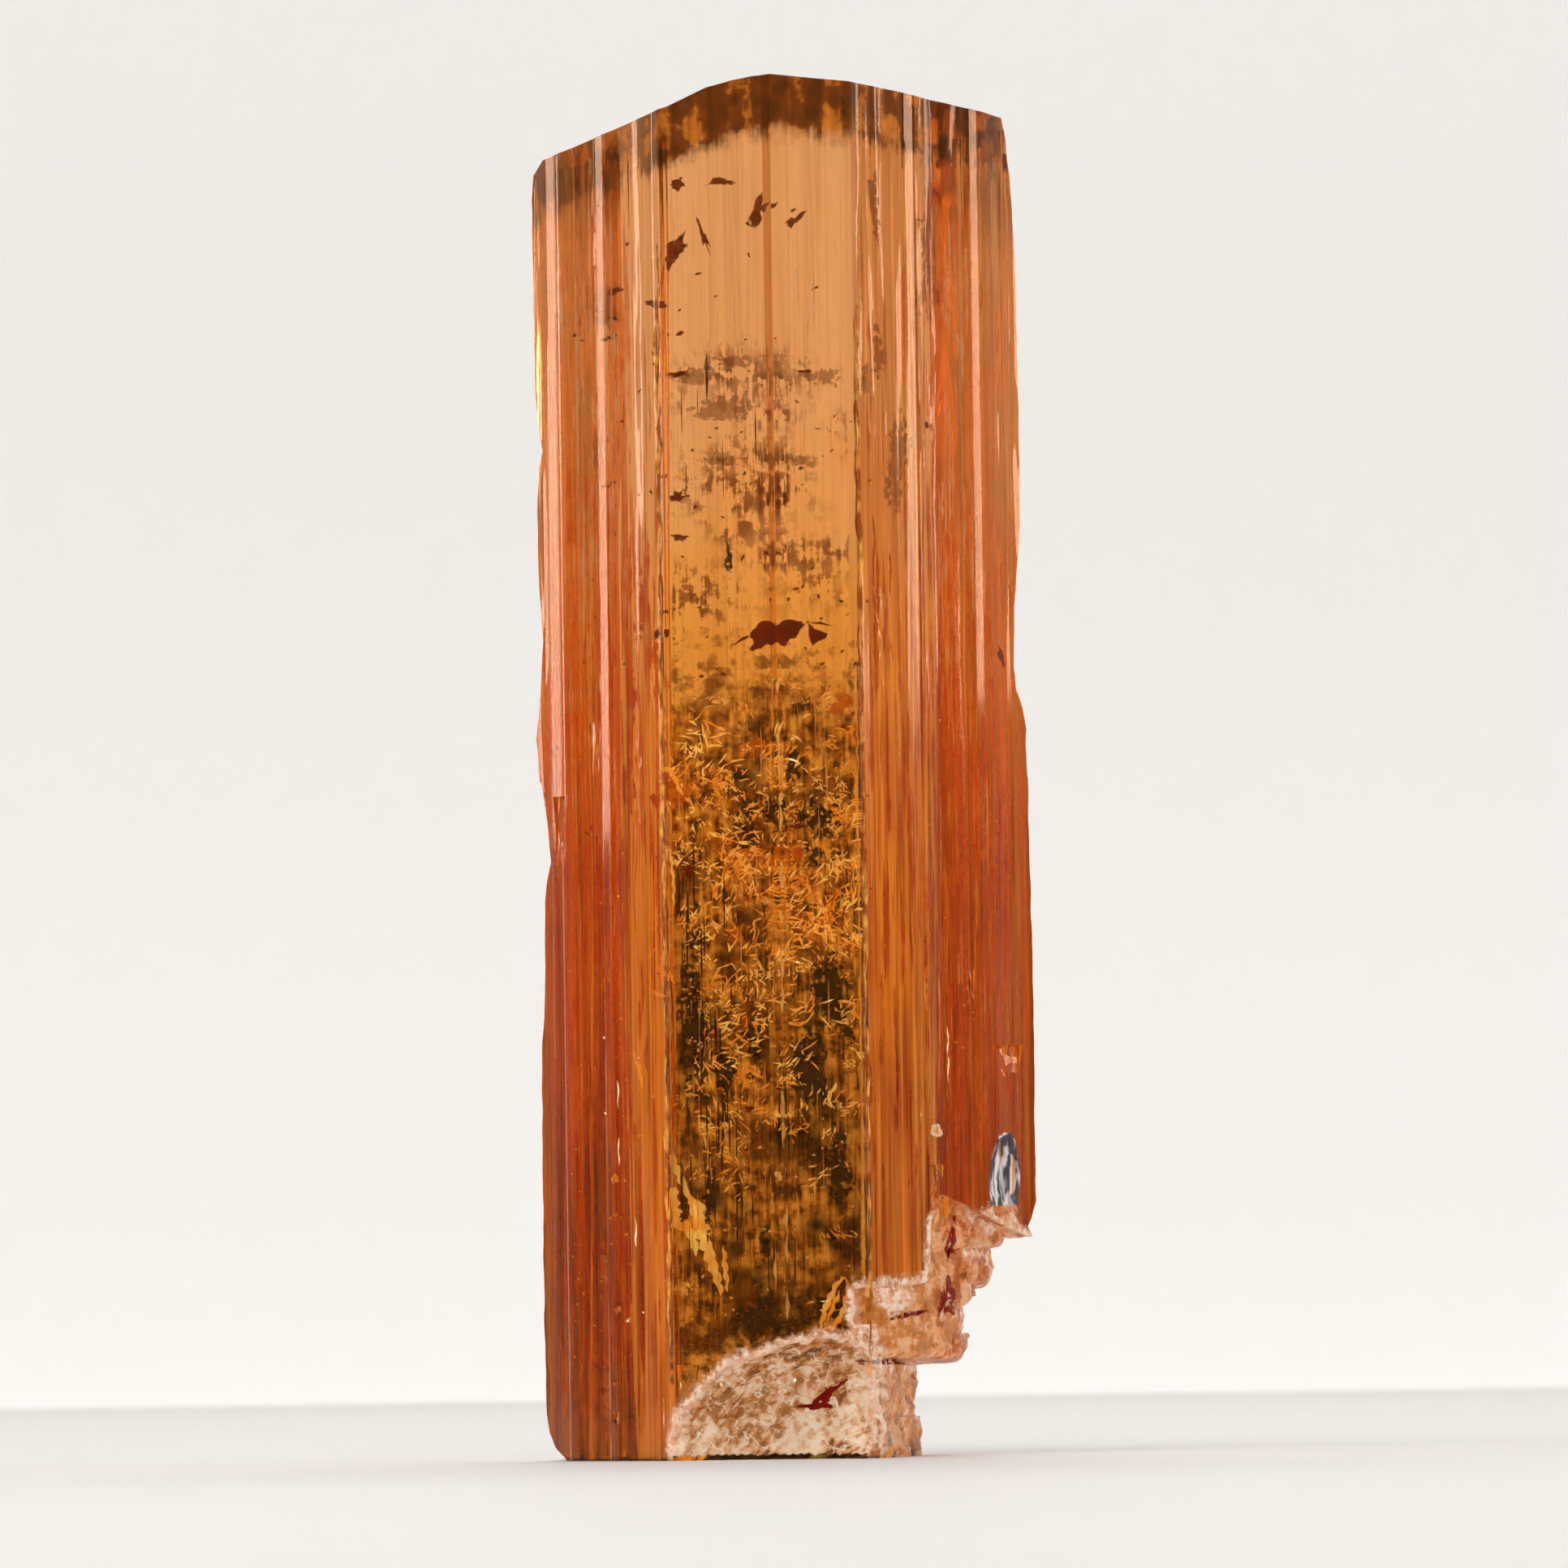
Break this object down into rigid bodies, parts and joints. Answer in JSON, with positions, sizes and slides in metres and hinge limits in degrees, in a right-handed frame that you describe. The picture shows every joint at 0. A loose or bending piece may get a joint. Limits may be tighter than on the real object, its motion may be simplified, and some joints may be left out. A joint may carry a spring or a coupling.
{
  "type": "topaz crystal",
  "caption": "Upright gem crystal: a striated prism with a low roof-shaped top, a stepped broken corner, a shell-shaped fracture and a flat cleavage face to stand on.",
  "frame": {"origin": "middle of the bounding box, on the flat cleavage face that the crystal stands on", "axes": "+Z along the long prism axis towards the roof-shaped end, -Y towards the front, +X towards the side with the broken corner"},
  "size_m": [0.0152, 0.0132, 0.042],
  "materials": {
    "topaz": "clear orange, striated along the prism, pinker at the top and redder at the foot"
  },
  "bodies": {
    "root": {"crystal": "topaz"}
  },
  "joints": []
}
